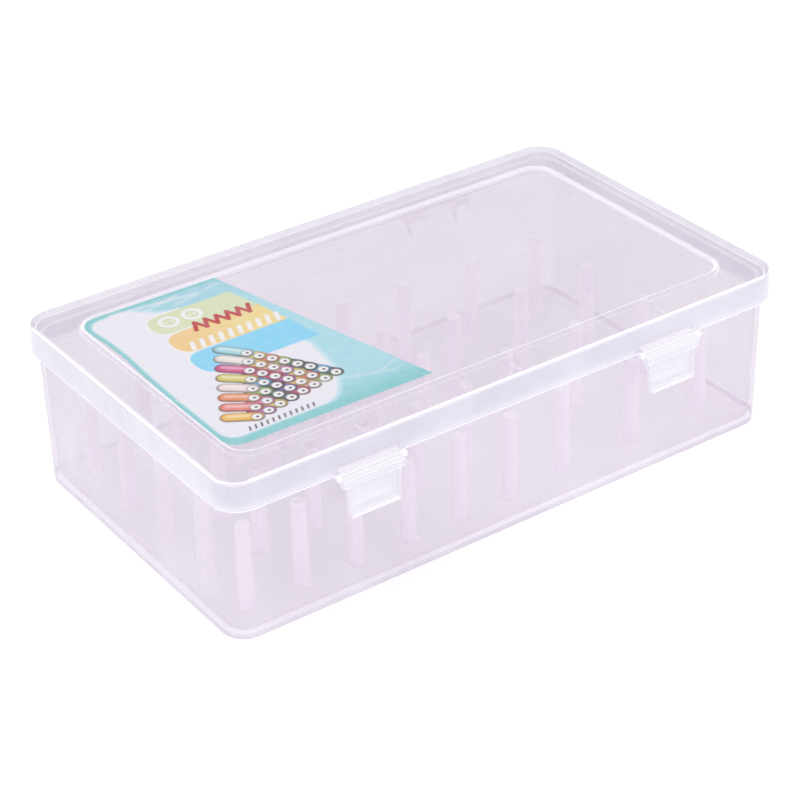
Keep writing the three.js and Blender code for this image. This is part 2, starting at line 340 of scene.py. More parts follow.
class Nodes:
    """A short way to write a material's node tree."""

    def __init__(self, name):
        self.material = bpy.data.materials.new(name)
        self.material.use_nodes = True
        self.tree = self.material.node_tree
        self.tree.nodes.clear()

    def add(self, kind, inputs=None, **settings):
        """A node of a kind; an input is a number, a colour or another node's output."""
        node = self.tree.nodes.new(kind)
        for name, value in settings.items():
            setattr(node, name, value)
        for name, value in (inputs or {}).items():
            socket = node.inputs[name]
            if isinstance(value, bpy.types.NodeSocket):
                self.tree.links.new(value, socket)
            else:
                socket.default_value = value
        return node

    def math(self, operation, first, second=0.0, clamp=False):
        node = self.add("ShaderNodeMath", {0: first, 1: second}, operation=operation, use_clamp=clamp)
        return node.outputs[0]

    def total(self, *values):
        """The sum of some values."""
        result = values[0]
        for value in values[1:]:
            result = self.math("ADD", result, value)
        return result

    def scaled(self, value, factor):
        return self.math("MULTIPLY", value, factor)

    def noise(self, vector, scale, detail=2.0, roughness=0.5):
        inputs = {"Vector": vector, "Scale": scale, "Detail": detail, "Roughness": roughness}
        return self.add("ShaderNodeTexNoise", inputs).outputs["Fac"]

    def spread(self, value, low, high, to_low=0.0, to_high=1.0):
        """A value between low and high, spread over another range and held inside it."""
        inputs = {"Value": value, "From Min": low, "From Max": high, "To Min": to_low, "To Max": to_high}
        return self.add("ShaderNodeMapRange", inputs).outputs["Result"]

    def blend(self, share, first, second):
        """A colour between two colours."""
        node = self.add("ShaderNodeMix", data_type="RGBA")
        for name, value in (("Factor_Float", share), ("A_Color", first), ("B_Color", second)):
            socket = next(s for s in node.inputs if s.identifier == name)
            if isinstance(value, bpy.types.NodeSocket):
                self.tree.links.new(value, socket)
            else:
                socket.default_value = value
        return next(s for s in node.outputs if s.identifier == "Result_Color")

    def layered(self, share, under, over):
        """A shader node under another one, which covers a share of it."""
        return self.add("ShaderNodeMixShader", {0: share, 1: under.outputs[0], 2: over.outputs[0]})

    def finish(self, shader):
        self.add("ShaderNodeOutputMaterial", {"Surface": shader.outputs[0]})
        return self.material


def linear(red, green, blue):
    """A colour given as 0 to 255 on screen, as the renderer's linear light, by the sRGB formula."""
    screen = [c / 255 for c in (red, green, blue)]
    return tuple(((c + 0.055) / 1.055) ** 2.4 if c > 0.04045 else c / 12.92 for c in screen)


def rgba(colour):
    return (*linear(*colour), 1.0)


def darker(colour, drop):
    return tuple(c - drop for c in colour)


def scratches(nodes, where):
    """Faint straight hairlines in two directions: 1 on a scratch and 0 elsewhere."""
    sets = []
    for turn, tilt in HAIRLINE_TURNS:
        mapping = nodes.add(
            "ShaderNodeMapping",
            {"Vector": where, "Rotation": (tilt, 0.3, turn), "Scale": HAIRLINE_STRETCH},
        )
        sets.append(nodes.spread(nodes.noise(mapping.outputs[0], 1.0, 1.0), *HAIRLINE_RANGE))
    return nodes.math("MAXIMUM", *sets)


class Moulding:
    """What the shading of a moulded plastic reads: patches, hairlines, and how a point lies and faces."""

    def __init__(self, nodes):
        texture = nodes.add("ShaderNodeTexCoord")
        where = texture.outputs["Object"]
        self.patches = nodes.noise(where, PATCH_SCALE, 3.0, 0.55)
        self.peel = nodes.noise(where, PEEL_SCALE, 1.0)
        self.hairlines = scratches(nodes, where)
        normal_z = nodes.add("ShaderNodeSeparateXYZ", {0: texture.outputs["Normal"]}).outputs["Z"]
        height_z = nodes.add("ShaderNodeSeparateXYZ", {0: where}).outputs["Z"]
        marked = nodes.add("ShaderNodeAttribute", attribute_name=EDGE).outputs["Fac"]
        self.low_down = nodes.spread(height_z, 1.5 * TRAY_FLOOR * MM, TRAY_FLOOR * MM)
        self.edge = nodes.scaled(marked, nodes.math("SUBTRACT", 1.0, self.low_down))
        self.standing = nodes.math("SUBTRACT", 1.0, nodes.math("ABSOLUTE", normal_z))
        self.facing = nodes.add("ShaderNodeLayerWeight", {"Blend": 0.5}).outputs["Facing"]


def veil_cover(nodes, moulding, opacity, upright_veil, haze, wear):
    """How much the veil hides: its density, times how long the way through the wall is."""
    density = nodes.total(
        nodes.spread(moulding.patches, 0.3, 0.7, opacity * (1 - haze), opacity * (1 + haze)),
        nodes.scaled(moulding.standing, upright_veil),
        nodes.scaled(moulding.edge, EDGE_VEIL),
        nodes.scaled(nodes.scaled(moulding.low_down, moulding.standing), FOOT_VEIL),
        nodes.scaled(moulding.hairlines, HAIRLINE_VEIL * wear),
    )
    cosine = nodes.math("MAXIMUM", nodes.math("SUBTRACT", 1.0, moulding.facing), LOWEST_COSINE)
    return nodes.math("MULTIPLY", density, nodes.math("DIVIDE", 1.0, cosine), clamp=True)


def veil_colour(nodes, moulding, veil, upright_shading):
    """The veil's colour: painted shading on upright walls, darker edge on and in the foot, a painted
    highlight on round edges.
    """
    edge_on = nodes.math("POWER", moulding.facing, 4.0)
    # Upright walls get another colour as painted shading.
    cloud_and_shading = nodes.blend(moulding.standing, rgba(veil), rgba(upright_shading))
    cloud_and_shading = nodes.blend(edge_on, cloud_and_shading, rgba(darker(veil, GRAZING_DROP)))
    cloud_and_shading = nodes.blend(moulding.low_down, cloud_and_shading, rgba(darker(veil, FOOT_DROP)))
    # A painted highlight on rounded edges, and whiter random patches of cloud.
    highlight_and_cloud = nodes.math("MAXIMUM", moulding.edge, nodes.spread(moulding.patches, 0.4, 0.8, 0.0, 0.25))
    return nodes.blend(highlight_and_cloud, cloud_and_shading, rgba(EDGE_HIGHLIGHT))


def fine_surface(nodes, moulding, roughness, wear):
    """The roughness and the bumped normal of an orange-peel surface with hairline scratches."""
    peel, hairlines = moulding.peel, moulding.hairlines
    rough = nodes.total(
        nodes.spread(peel, 0.3, 0.7, roughness * 0.85, roughness * 1.15),
        nodes.scaled(hairlines, HAIRLINE_ROUGHNESS * wear),
    )
    height = nodes.total(nodes.scaled(peel, 0.2), nodes.scaled(hairlines, -0.3 * wear))
    bump = nodes.add("ShaderNodeBump", {"Strength": 0.07, "Distance": 0.04 * MM, "Height": height})
    return rough, bump.outputs["Normal"]


def clear_plastic(name, veil, opacity, tint, glow=0.0, upright_veil=0.0, upright_shading=None,
                  roughness=0.22, haze=0.12, wear=0.7):
    """Translucent moulded plastic.

    What is behind it shows through a tint that deepens where the wall is seen edge on. Over it lies a bright
    veil, with cloudy patches, that thickens the same way, on rounded edges and in the solid foot, and rounded
    edges get a painted highlight. Upright walls may have another veil and painted shading in another colour.
    A fine orange-peel surface, hairline scratches and a clear gloss finish it. Light scattered inside is
    painted on as a faint glow that the plastic gives off though it is no lamp, and lamps shine through.
    """
    nodes = Nodes(name)
    moulding = Moulding(nodes)
    rough, bump = fine_surface(nodes, moulding, roughness, wear)
    shown = veil_colour(nodes, moulding, veil, upright_shading or veil)
    # The emission is a painted glow: light that the plastic gives off though it is no lamp.
    body = nodes.add(
        "ShaderNodeBsdfPrincipled",
        {"Base Color": shown, "Roughness": rough, "IOR": PLASTIC_IOR, "Normal": bump, "Emission Color": shown,
         "Emission Strength": glow},
    )
    deep = tuple(c - DEEPENING * (255 - c) for c in tint)
    seen_through = nodes.blend(nodes.math("POWER", moulding.facing, 3.0), rgba(tint), rgba(deep))
    through = nodes.add("ShaderNodeBsdfTransparent", {"Color": seen_through})
    cover = veil_cover(nodes, moulding, opacity, upright_veil, haze, wear)
    veiled = nodes.layered(cover, through, body)

    shine = nodes.math("POWER", moulding.facing, 5.0)
    shine = nodes.math("ADD", nodes.scaled(shine, GRAZING_SHINE), PLAIN_SHINE, clamp=True)
    gloss = nodes.add("ShaderNodeBsdfGlossy", {"Roughness": rough, "Normal": bump})
    glossy = nodes.layered(shine, veiled, gloss)
    lamp_ray = nodes.add("ShaderNodeLightPath").outputs["Is Shadow Ray"]
    open_way = nodes.add("ShaderNodeBsdfTransparent", {"Color": rgba(LAMP_TINT)})
    return nodes.finish(nodes.layered(lamp_ray, glossy, open_way))


def printed_film(name):
    """The label: printed colours under a satin film, with uneven ink and a faint tooth."""
    nodes = Nodes(name)
    where = nodes.add("ShaderNodeTexCoord").outputs["Object"]
    ink = nodes.add("ShaderNodeAttribute", attribute_name=PRINT).outputs["Color"]
    mottle = nodes.noise(where, MOTTLE_SCALE, 4.0, 0.6)
    tooth = nodes.noise(where, TOOTH_SCALE, 1.0)
    shown = nodes.blend(nodes.spread(mottle, 0.35, 0.75, 0.0, 0.12), ink, (1, 1, 1, 1))
    rough = nodes.spread(mottle, 0.3, 0.7, 0.26, 0.42)
    bump = nodes.add("ShaderNodeBump", {"Strength": 0.2, "Distance": 0.03 * MM, "Height": tooth})
    film = nodes.add(
        "ShaderNodeBsdfPrincipled",
        {"Base Color": shown, "Roughness": rough, "Normal": bump.outputs["Normal"], "Coat Weight": 0.25,
         "Coat Roughness": 0.2},
    )
    return nodes.finish(film)


# Each glow is painted light: the plastic gives it off, though it is no lamp.
tray_plastic = clear_plastic("tray plastic", (210, 202, 215), 0.14, (252, 251, 252), glow=0.28)
# An upright colour is painted shading on upright walls.
lid_plastic = clear_plastic(
    "lid plastic", (208, 200, 212), 0.14, (252, 251, 252), glow=0.28, upright_veil=0.2,
    upright_shading=(207, 208, 219)
)
peg_plastic = clear_plastic(
    "peg plastic", (245, 237, 247), 0.6, (253, 250, 253), glow=0.15, roughness=0.35, haze=0.15, wear=0.4
)
latch_plastic = clear_plastic(
    "latch plastic", (252, 251, 253), 0.55, (252, 252, 254), glow=0.08, upright_veil=-0.25,
    upright_shading=(242, 242, 249), roughness=0.3, haze=0.05, wear=0.2
)
pin_plastic = clear_plastic(
    "pin plastic", (244, 240, 247), 0.5, (250, 248, 250), roughness=0.35, haze=0.1, wear=0.4
)
label_film = printed_film("label film")


# ---- Tray ----

def keeper(x):
    """The rib under a latch that its catch snaps past."""
    root, nose = KEEPER_ROOT - TRAY_HALF[1], -TRAY_HALF[1] - KEEPER_REACH
    outline = soft_outline([
        (nose, KEEPER_BOTTOM, 0.4), (nose, KEEPER_NOSE, 0.5), (root, KEEPER_TOP, 0), (root, KEEPER_BOTTOM, 0),
    ])
    return prism("keeper", outline, x - KEEPER_HALF, x + KEEPER_HALF)


def tray_knuckle(left, right):
    """A knuckle from left to right, and the arm that holds it on the tray's back wall."""
    wall = TRAY_HALF[1] - ROOT_DEPTH
    radius = KNUCKLE_RADIUS
    arm = [
        (wall, HINGE.z - 8.5), (HINGE.y + 0.8 * radius, HINGE.z - 0.6 * radius),
        (HINGE.y + 0.8 * radius, HINGE.z), (HINGE.y - 0.9 * radius, HINGE.z - 1), (wall, HINGE.z - 1.5),
    ]
    return [prism("arm", arm, left, right), bar("knuckle", radius, left, right, HINGE.y, HINGE.z)]


def hinge_bore(x):
    """The hole for a hinge pin, through the tray's and the lid's knuckles."""
    reach = TRAY_KNUCKLE_END + CUT_PAST
    return bar("bore", HINGE_BORE, x - reach, x + reach, HINGE.y, HINGE.z)


def make_tray():
    """A shell with a ledge, a rim that goes up inside the lid, a keeper under each latch, and knuckles."""
    top, foot = TRAY_HALF, tuple(h - TRAY_DRAFT for h in TRAY_HALF)
    rim_inside = RIM_INSET + RIM_WALL
    shelf = LEDGE - RIM_WALL
    tray = shell("tray", [
        (ring(foot, FLAT_START, 0), 0),
        (ring(foot, 0, 0), 0.6),
        (ring(top, 0, LEDGE), 0.5),
        (ring(top, RIM_INSET, LEDGE), 0.3),
        (ring(top, RIM_INSET, RIM_TOP), 0.5),
        (ring(top, rim_inside, RIM_TOP), 0.5),
        (ring(top, rim_inside, shelf), 0.4),
        (ring(top, TRAY_WALL, shelf - LEDGE_SLOPE), 0.4),
        (ring(foot, TRAY_WALL, TRAY_FLOOR), 3.0),
        (ring(foot, TRAY_WALL + FLAT_START, TRAY_FLOOR), 0),
    ])
    added = [keeper(pivot.x) for pivot in LATCH_PIVOTS.values()]
    for side in (LEFT, RIGHT):
        x = side * HINGE_X
        added += tray_knuckle(x - TRAY_KNUCKLE_END, x - TRAY_KNUCKLE_START)
        added += tray_knuckle(x + TRAY_KNUCKLE_START, x + TRAY_KNUCKLE_END)
    combine(tray, added, "UNION")
    combine(tray, [hinge_bore(side * HINGE_X) for side in (LEFT, RIGHT)], "DIFFERENCE")
    soften_edges(tray, SOFT_EDGE)
    shade(tray)
    place(tray, tray_plastic, "tray", "clear_plastic", "base_tray")


# ---- Lid ----

def lid_knuckle(x):
    """The lid's knuckle, between two of the tray's, and the arm that holds it on the skirt."""
    skirt = LID_HALF[1] - ROOT_DEPTH
    radius = KNUCKLE_RADIUS
    arm = [
        (skirt, SKIRT_BOTTOM + 0.2), (HINGE.y - 0.6 * radius, HINGE.z - 0.8 * radius),
        (HINGE.y + 0.8 * radius, HINGE.z - 0.6 * radius), (HINGE.y + radius, HINGE.z),
        (HINGE.y + 0.9 * radius, HINGE.z + 1.6), (skirt, HINGE.z + 7.5),
    ]
    left, right = x - LID_KNUCKLE_HALF, x + LID_KNUCKLE_HALF
    return [prism("arm", arm, left, right), bar("knuckle", radius, left, right, HINGE.y, HINGE.z)]


def latch_ears(pivot):
    """Two ears, one at each end of the latch, that hold its stub pins."""
    made = []
    near = LATCH_HALF + EAR_GAP
    root = -LID_HALF[1] + LID_WALL / 2
    outline = soft_outline([
        (root, pivot.z + EAR_RADIUS + 0.6, 0),
        (pivot.y, pivot.z + EAR_RADIUS, 1.2),
        (pivot.y - EAR_RADIUS, pivot.z + EAR_RADIUS * 0.2, 1.6),
        (pivot.y - EAR_RADIUS * 0.6, pivot.z - EAR_RADIUS, 1.4),
        (root, SKIRT_BOTTOM - 1.2, 0),
    ])
    for side in (LEFT, RIGHT):
        ends = sorted((pivot.x + side * near, pivot.x + side * (near + EAR_THICKNESS)))
        made.append(prism("ear", outline, *ends))
    return made


def latch_notch(pivot):
    """The gap in the skirt's lower edge that a latch's barrel turns in."""
    half = LATCH_HALF + NOTCH_CLEARANCE
    outside = -LID_HALF[1]
    low = (pivot.x - half, outside - CUT_PAST, SKIRT_BOTTOM - CUT_PAST)
    high = (pivot.x + half, outside + LID_WALL + CUT_PAST, NOTCH_TOP)
    return block("notch", low, high)


def ear_bore(pivot):
    """The hole for a latch's stub pins, through both of its ears."""
    reach = LATCH_HALF + EAR_GAP + EAR_THICKNESS + CUT_PAST
    return bar("bore", EAR_BORE, pivot.x - reach, pivot.x + reach, pivot.y, pivot.z)


def border_ribs():
    """Three short ribs across the lid's front border."""
    root, top = LID_TOP - ROOT_DEPTH, LID_TOP + RIB_RISE
    outline = soft_outline([
        (RIB_FRONT, root, 0), (RIB_BACK, root, 0), (RIB_BACK, top, 0.2), (RIB_FRONT, top, 0.2),
    ])
    return [prism("rib", outline, x - RIB_HALF_WIDTH, x + RIB_HALF_WIDTH) for x in RIB_PLACES]


def make_lid():
    """A shell with a recessed panel, ribs, a notch and ears for each latch, and hinge knuckles."""
    underside = LID_TOP - LID_WALL
    lid = shell("lid_shell", [
        (ring(PANEL_HALF, PANEL_SLOPE - PANEL_SHOULDER + FLAT_START, underside - PANEL_DROP), 0),
        (ring(PANEL_HALF, PANEL_SLOPE - PANEL_SHOULDER, underside - PANEL_DROP), 0.4),
        (ring(PANEL_HALF, -PANEL_SHOULDER, underside), 0.4),
        (ring(LID_HALF, LID_WALL, underside), 1.0),
        (ring(LID_HALF, LID_WALL, SKIRT_BOTTOM), 0.3),
        (ring(LID_HALF, 0, SKIRT_BOTTOM), 0.6),
        (ring(LID_HALF, 0, LID_TOP), 1.2),
        (ring(PANEL_HALF, 0, LID_TOP), 0.8),
        (ring(PANEL_HALF, PANEL_SLOPE, LID_TOP - PANEL_DROP), 0.45),
        (ring(PANEL_HALF, PANEL_SLOPE + FLAT_START, LID_TOP - PANEL_DROP), 0),
    ])
    pivots = LATCH_PIVOTS.values()
    combine(lid, [latch_notch(pivot) for pivot in pivots], "DIFFERENCE")
    added = [part for pivot in pivots for part in latch_ears(pivot)]
    added += [part for side in (LEFT, RIGHT) for part in lid_knuckle(side * HINGE_X)]
    combine(lid, added + border_ribs(), "UNION")
    bores = [ear_bore(pivot) for pivot in pivots] + [hinge_bore(side * HINGE_X) for side in (LEFT, RIGHT)]
    combine(lid, bores, "DIFFERENCE")
    soften_edges(lid, SOFT_EDGE)
    shade(lid)
    place(lid, lid_plastic, "lid", "clear_plastic", "lid")


# ---- Latches ----

def grooved(start, end):
    """The corners of the small V grooves in the roof, from start towards end."""
    start, end = np.array(start), np.array(end)
    along = (end - start) / np.linalg.norm(end - start)
    inward = np.array([-along[1], along[0]])
    corners = []
    for share in GROOVE_SHARES:
        centre = start + (end - start) * share
        before, after = centre - along * GROOVE_HALF, centre + along * GROOVE_HALF
        corners += [(*point, 0.06) for point in (before, centre + inward * GROOVE_DEPTH, after)]
    return corners


def latch_outlines():
    """The latch's outlines from the side: y and z from its pivot, and each corner's radius."""
    roof_start, ridge = (1.1, 2.0), (-2.5, -0.9)
    return {
        "barrel": [
            (*roof_start, 0.35), *grooved(roof_start, ridge), (*ridge, 0.35), (-2.4, -3.8, 0.3),
            (-1.6, -4.3, 0.2), (-0.3, -4.3, 0.2), (0.9, -2.2, 0.2), (1.8, -0.8, 0.4), (1.9, 0.6, 0.5),
        ],
        "plate": [(-1.4, -3.4, 0), (-2.0, -15.4, 0.2), (-0.9, -15.4, 0.2), (-0.45, -3.4, 0)],
        "rim": [
            (-1.4, -3.6, 0), (-2.0, -4.2, 0.3), (-3.0, -15.8, 0.4), (-1.0, -15.8, 0.2), (-0.6, -3.6, 0),
        ],
        "lip": [
            (-1.7, -13.6, 0), (-3.2, -14.8, 0.4), (-3.2, -15.8, 0.4), (-0.8, -15.8, 0.3), (-0.8, -13.6, 0),
        ],
        "catch": [
            (-1.2, -10.2, 0), (-1.2, -12.8, 0), (-0.8, -12.8, 0.1), (1.3, -12.1, 0.25), (1.3, -11.3, 0.25),
            (-0.7, -10.2, 0.1),
        ],
    }


def latch_parts(x):
    """The barrel with its roof, the plate, its two side rims and bottom lip, the catch and the stub pins."""
    outlines = {part: soft_outline(corners) for part, corners in latch_outlines().items()}
    half, lean = PLATE_TOP_HALF, PLATE_TAPER
    lip_half, catch_half = half - LIP_INSET, half - CATCH_INSET
    stub_half = LATCH_HALF + STUB_REACH
    return [
        prism("barrel", outlines["barrel"], x - LATCH_HALF, x + LATCH_HALF),
        prism("plate", outlines["plate"], x - half, x + half, -lean, lean),
        prism("rim", outlines["rim"], x - half, x - half + RIM_WIDTH, -lean, -lean),
        prism("rim", outlines["rim"], x + half - RIM_WIDTH, x + half, lean, lean),
        prism("lip", outlines["lip"], x - lip_half, x + lip_half, -lean, lean),
        prism("catch", outlines["catch"], x - catch_half, x + catch_half),
        bar("stubs", STUB_RADIUS, x - stub_half, x + stub_half, 0, 0),
    ]


def make_latch(node, pivot):
    """One latch, joined from its parts and set at its pivot."""
    flap, *others = latch_parts(pivot.x)
    combine(flap, others, "UNION")
    flap.name = f"{node}_flap"
    flap.data.transform(Matrix.Translation((0, pivot.y * MM, pivot.z * MM)))
    soften_edges(flap, LATCH_SOFT_EDGE)
    shade(flap)
    place(flap, latch_plastic, node, "latch_plastic", node)


# ---- Hinge pins ----

def make_hinge_pin(node):
    """A rod with a low head at both ends."""
    low, high = cad_box(node)
    half = (high.x - low.x) / 2
    neck = half - PIN_HEAD
    profile = soft_profile([
        ((0, -half), 0), ((PIN_HEAD_RADIUS, -half), 0.4), ((PIN_HEAD_RADIUS, -neck), 0.2),
        ((PIN_RADIUS, -neck), 0.2), ((PIN_RADIUS, neck), 0.2),
        ((PIN_HEAD_RADIUS, neck), 0.2), ((PIN_HEAD_RADIUS, half), 0.4), ((0, half), 0),
    ])
    pin = lathe(f"{node}_rod", profile, ROUND_STEPS)
    pin.data.transform(Matrix.Rotation(math.pi / 2, 4, "Y"))
    pin.data.transform(Matrix.Translation(((low.x + high.x) / 2 * MM, HINGE.y * MM, HINGE.z * MM)))
    shade(pin)
    place(pin, pin_plastic, "tray", "pin_plastic", node)


# ---- Pegs ----

def peg_mesh(bottom, top):
    """A hollow tapered peg with a flared foot, a round shoulder and a dimpled tip."""
    hollow_top = bottom + HOLLOW_TOP
    profile = soft_profile([
        ((0, hollow_top), 0), ((HOLLOW_TIP, hollow_top), 0.6), ((HOLLOW_FOOT, bottom), 0.1),
        ((PEG_FOOT, bottom), 0.25), ((PEG_FOOT - 0.1, bottom + 0.35), 0.2), ((PEG_BASE, bottom + 1.1), 0.8),
        ((PEG_TIP, top), 0.7), ((DIMPLE_RADIUS, top), 0.25), ((DIMPLE_RADIUS - 0.3, top - 0.7), 0.3),
        ((0, top - DIMPLE_DEPTH), 0),
    ])
    peg = lathe("peg", profile, PEG_SIDES)
    mesh = peg.data
    bpy.data.objects.remove(peg)
    mesh.materials.append(peg_plastic)
    mark_edges(mesh)
    smooth(mesh, PEG_SHARP_ANGLE)
    return mesh


def make_pegs():
    """One mesh, placed at every packed post."""
    posts = sorted(name for name in frame["nodes"] if name.startswith("spool_post_"))
    low, high = cad_box(posts[0])
    mesh = peg_mesh(low.z, high.z)
    for node in posts:
        low, high = cad_box(node)
        peg = bpy.data.objects.new(node.replace("spool_post", "peg"), mesh)
        bpy.context.scene.collection.objects.link(peg)
        peg.location = ((low.x + high.x) / 2 * MM, (low.y + high.y) / 2 * MM, 0)
        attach(peg, "tray")
        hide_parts(node)


# ---- Label ----

LABEL_FRONT_LEFT, LABEL_FRONT_RIGHT = (-104.8, -49.6), (-24.7, -50.7)
LABEL_BACK_LEFT, LABEL_BACK_RIGHT = (-103.9, 54.3), (-47.9, 53.8)
LABEL_CORNER, LABEL_CELL = 6.0, 0.34
# The y and x of points along the left edge.
LABEL_LEFT = (
    (-50, -38, -28, -18, -8, 3, 14, 24, 36, 42, 47, 55),
    (-105.1, -105.2, -105.2, -105.2, -105.0, -104.7, -104.2, -103.6, -103.8, -104.5, -104.7, -104.3),
)

TURQUOISE, PAPER, GLOW = (134, 208, 214), (243, 240, 251), (214, 238, 250)
LIGHT_BLUE, TOP_BLUE = (175, 225, 240), (166, 216, 233)
GREEN, YELLOW, ORANGE, SKY = (222, 231, 192), (247, 225, 152), (248, 208, 142), (136, 218, 253)
RED, INK, WHITE = (196, 32, 42), (62, 56, 64), (250, 247, 251)

# How wide a printed edge is, and where the ground's colours fade into each other.
BLUR, BORDER, BORDER_FADE = 0.4, 1.5, 6.0
TOP_BLUE_FROM, TURQUOISE_FROM, YELLOW_FROM = (30, 42), (-30, -49), (-80, -55)

# Creases in the film: start x, start y, end x, end y, height and half width.
CREASES = (
    (-93, 52.0, -60, 47.5, 0.22, 0.9),
    (-84, 46.5, -66, 50.5, 0.18, 0.7),
    (-70, 44.5, -50, 49.5, 0.15, 0.8),
    (-97, 36.0, -88, 41.5, 0.12, 0.9),
    (-60, -32.0, -33, -41.0, 0.12, 0.9),
    (-37, -38.5, -27.5, -34.5, 0.16, 0.5),
    (-104, -13.0, -99, -22.0, 0.14, 0.7),
)
# How much white is painted on a crease as a highlight for each millimetre of its height, and at most.
CREASE_SHINE, MOST_SHINE = 2.2, 0.5

# The white field: its outline, and the straight margins that it keeps from the label's edges.
FIELD = (
    (-125, 51.2, 0), (-125, -70, 0), (-64.5, -70, 0), (-64.5, -45.2, 2), (-57.5, -42.0, 6),
    (-48.5, -25, 12), (-46.6, -5.0, 4), (-60, 8, 0), (-73.5, 41.4, 2), (-78.5, 43.8, 3), (-82.6, 47.2, 3),
    (-87.4, 51.4, 3),
)
FIELD_FRONT, FIELD_BACK, FIELD_MARGIN, FIELD_CORNER, FIELD_GLOW = -45.2, 51.4, 1.9, 5.5, 1.3

# The bands' outlines and colours. Each has a white rim up to RIM_END in x.
BANDS = (
    ([(-86.2, 41.5, 7.2), (-86.2, 27.2, 7.2), (-45.9, 27.2, 0), (-49.5, 41.5, 0)], GREEN),
    ([(-86.2, 27.0, 7.7), (-86.2, 11.6, 7.7), (-43.2, 11.6, 0), (-45.9, 27.0, 0)], ORANGE),
    ([(-87.0, 11.3, 7.5), (-86.4, -3.6, 6.0), (-80, -5.0, 0), (-40.3, -5.0, 0), (-43.1, 11.3, 0)], SKY),
)
BAND_RIM, RIM_END = 0.8, -70

BUTTON_PLACES, BUTTON_RADIUS, BUTTON_WIDTH = ((-78.2, 35.4), (-68.6, 35.4)), 3.3, 0.75
BUTTON_HOLE_PLACE, BUTTON_HOLE = 1.1, 0.55
SEAM_SPAN, SEAM_Y, SEAM_RISE, SEAM_TURNS, STITCH = (-73.5, -48.8), 26.8, 2.7, 11, 0.85
# Rows of slanting stitches: start, end and step in x, bottom and top in y, lean, radius, colour and blur.
STITCH_ROWS = (
    (-81.0, -44.5, 3.9, 13.2, 17.6, 1.6, STITCH, WHITE, BLUR),
    (-94.0, -68.5, 2.3, -44.0, -42.0, 0.8, 0.34, INK, 0.5),
)

EDGE_SPOOLS = (
    (166, 220, 232), (240, 230, 226), (214, 66, 138), (221, 205, 108),
    (246, 222, 226), (240, 138, 86), (238, 128, 120), (248, 190, 78),
)
INNER_SPOOLS = (
    (232, 130, 190), (60, 58, 88), (214, 58, 68), (242, 212, 96), (66, 168, 220),
    (190, 70, 180), (236, 112, 90), (62, 42, 52), (250, 200, 92), (150, 190, 92),
    (120, 80, 172), (230, 170, 150), (48, 92, 82), (222, 62, 112),
)
# The heap of spools: its top end, the steps down its left and right sides, and how far bodies reach back.
SPOOL_APEX, SPOOL_DOWN_LEFT, SPOOL_DOWN_RIGHT = (-67.9, -0.2), (-2.83, -5.4), (2.5, -4.25)
SPOOL_TOP_BODY, SPOOL_LOW_BODY = (-6.2, 7.6), (-8.2, 5.2)
SPOOL_COLUMNS, SPOOL_RADIUS, CAP_RADIUS, SPOOL_HOLE = 8, 2.8, 1.8, 0.6


def mix(first, second, share):
    return first + (second - first) * share


def smooth_step(low, high, value):
    share = np.clip((value - low) / (high - low), 0, 1)
    return share * share * (3 - 2 * share)


def from_line(x, y, start, end):
    """How far points are from a straight line between two points."""
    step_x, step_y = end[0] - start[0], end[1] - start[1]
    share = np.clip(((x - start[0]) * step_x + (y - start[1]) * step_y) / (step_x**2 + step_y**2), 0, 1)
    return np.hypot(x - start[0] - share * step_x, y - start[1] - share * step_y)


def from_outline(x, y, corners):
    """How far points are from a soft outline, negative inside it."""
    points = soft_outline(corners)
    nearest, inside = np.full(x.shape, np.inf), np.zeros(x.shape, bool)
    for (ax, ay), (bx, by) in zip(points, points[1:] + points[:1]):
        nearest = np.minimum(nearest, from_line(x, y, (ax, ay), (bx, by)))
        if ay != by:
            inside ^= ((ay > y) != (by > y)) & (x < ax + (bx - ax) * (y - ay) / (by - ay))
    return np.where(inside, -nearest, nearest)


def round_meet(first, second, radius):
    """The distance from the region inside both of two edges, with their corner rounded."""
    corner = np.hypot(np.maximum(first + radius, 0), np.maximum(second + radius, 0))
    return np.minimum(np.maximum(first, second), -radius) + corner


def left_edge(y):
    """The label's left edge, whose slack makes it wavy."""
    return np.interp(y, *LABEL_LEFT)


def right_edge(y):
    share = (y - LABEL_FRONT_RIGHT[1]) / (LABEL_BACK_RIGHT[1] - LABEL_FRONT_RIGHT[1])
    return mix(LABEL_FRONT_RIGHT[0], LABEL_BACK_RIGHT[0], share)


def label_grid():
    """The x and y of the label's points, front to back by left to right, with its left corners round."""
    rows = round((LABEL_BACK_LEFT[1] - LABEL_FRONT_LEFT[1]) / LABEL_CELL)
    columns = round((LABEL_FRONT_RIGHT[0] - LABEL_FRONT_LEFT[0]) / LABEL_CELL)
    along, across = np.linspace(0, 1, rows)[:, None], np.linspace(0, 1, columns)[None, :]
    front = mix(LABEL_FRONT_LEFT[1], LABEL_FRONT_RIGHT[1], across)
    back = mix(LABEL_BACK_LEFT[1], LABEL_BACK_RIGHT[1], across)
    y = mix(front, back, along)
    to_end = np.minimum(y[:, :1] - front[:, :1], back[:, :1] - y[:, :1])
    into_corner = LABEL_CORNER - np.clip(to_end, 0, LABEL_CORNER)
    left = left_edge(y[:, :1]) + LABEL_CORNER - np.sqrt(LABEL_CORNER**2 - into_corner**2)
    return mix(left, right_edge(y), across), y


def into_label(x, y):
    """How far inside the label's left, front and back edges points are."""
    from_left = left_edge(y) - x
    front, back = LABEL_FRONT_LEFT[1] - y, y - LABEL_BACK_LEFT[1]
    return -np.maximum(round_meet(from_left, front, LABEL_CORNER), round_meet(from_left, back, LABEL_CORNER))


class Print:
    """Colours on the label's points, painted one shape over another."""

    def __init__(self, x, y, colour):
        self.x, self.y = x, y
        self.colour = np.empty((*x.shape, 3))
        self.colour[:] = linear(*colour)

    def paint(self, distance, colour, blur=BLUR):
        """Paints where a distance is negative, with a blurred edge."""
        self.tint(np.clip(0.5 - distance / blur, 0, 1), colour)

    def tint(self, share, colour):
        self.colour += (np.array(linear(*colour)) - self.colour) * share[..., None]

    def stroke(self, start, end, radius, colour, blur=BLUR):
        self.paint(from_line(self.x, self.y, start, end) - radius, colour, blur)


